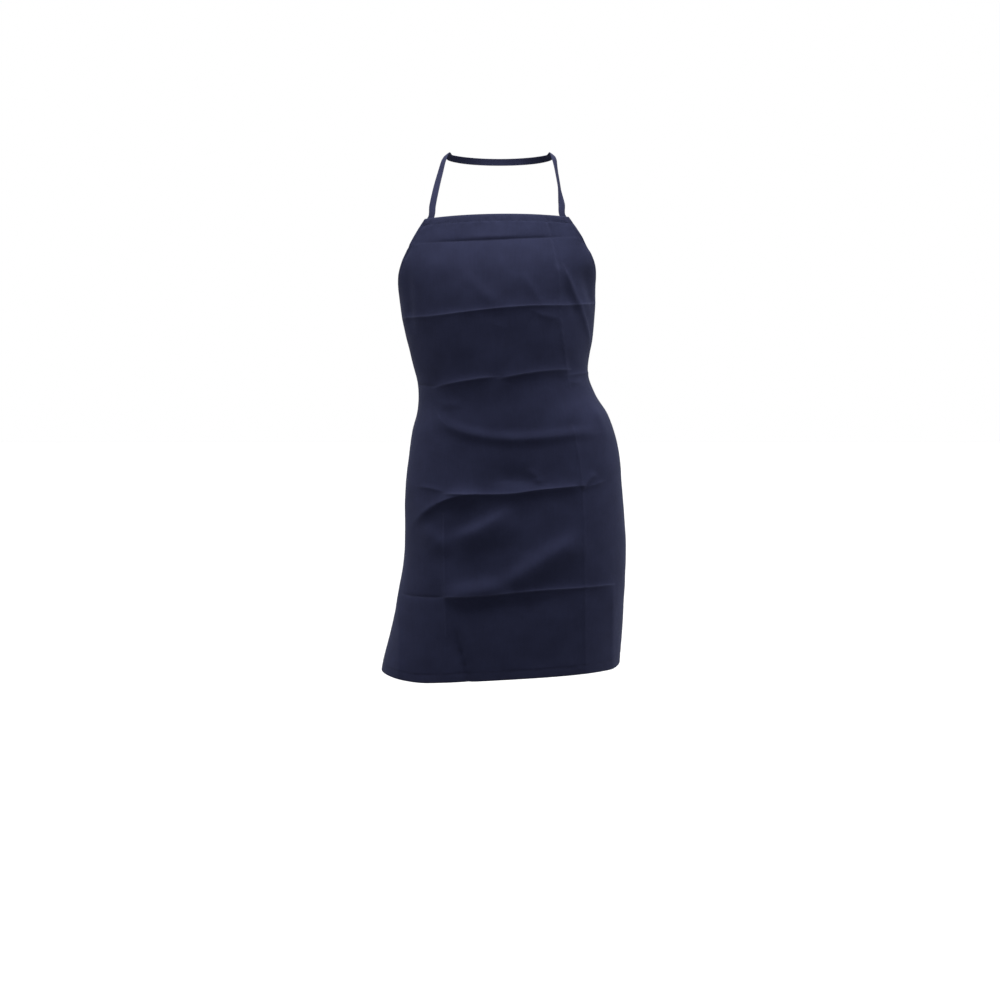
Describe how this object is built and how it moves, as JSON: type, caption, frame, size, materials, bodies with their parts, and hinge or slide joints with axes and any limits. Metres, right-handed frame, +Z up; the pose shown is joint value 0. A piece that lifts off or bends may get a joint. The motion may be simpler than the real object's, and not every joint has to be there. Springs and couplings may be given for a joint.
{
  "type": "cotton apron",
  "caption": "Cotton bib apron in its worn form: a panel with turned hems and pressed creases, a tape neck loop and waist ties closed in a bow behind.",
  "frame": {"origin": "the nape: the middle of the neck strap's inner face at the back of the neck loop", "axes": "+Z up, the front of the apron faces -Y, +X towards the viewer's right"},
  "size_m": [0.4605, 0.2907, 0.9796],
  "materials": {
    "cotton_twill": "matt navy cotton twill, pressed, with fold creases",
    "cotton_tape": "matt navy folded cotton tape, stitched along both edges"
  },
  "bodies": {
    "root": {"apron_panel": "cotton_twill", "bib_hem": "cotton_twill", "armhole_hem_left": "cotton_twill", "armhole_hem_right": "cotton_twill", "side_hem_left": "cotton_twill", "side_hem_right": "cotton_twill", "bottom_hem": "cotton_twill", "neck_strap": "cotton_tape", "waist_tie_left": "cotton_tape", "waist_tie_right": "cotton_tape", "tie_knot": "cotton_tape", "bow_loop_left": "cotton_tape", "bow_loop_right": "cotton_tape", "tie_tail_left": "cotton_tape", "tie_tail_right": "cotton_tape"}
  },
  "joints": []
}
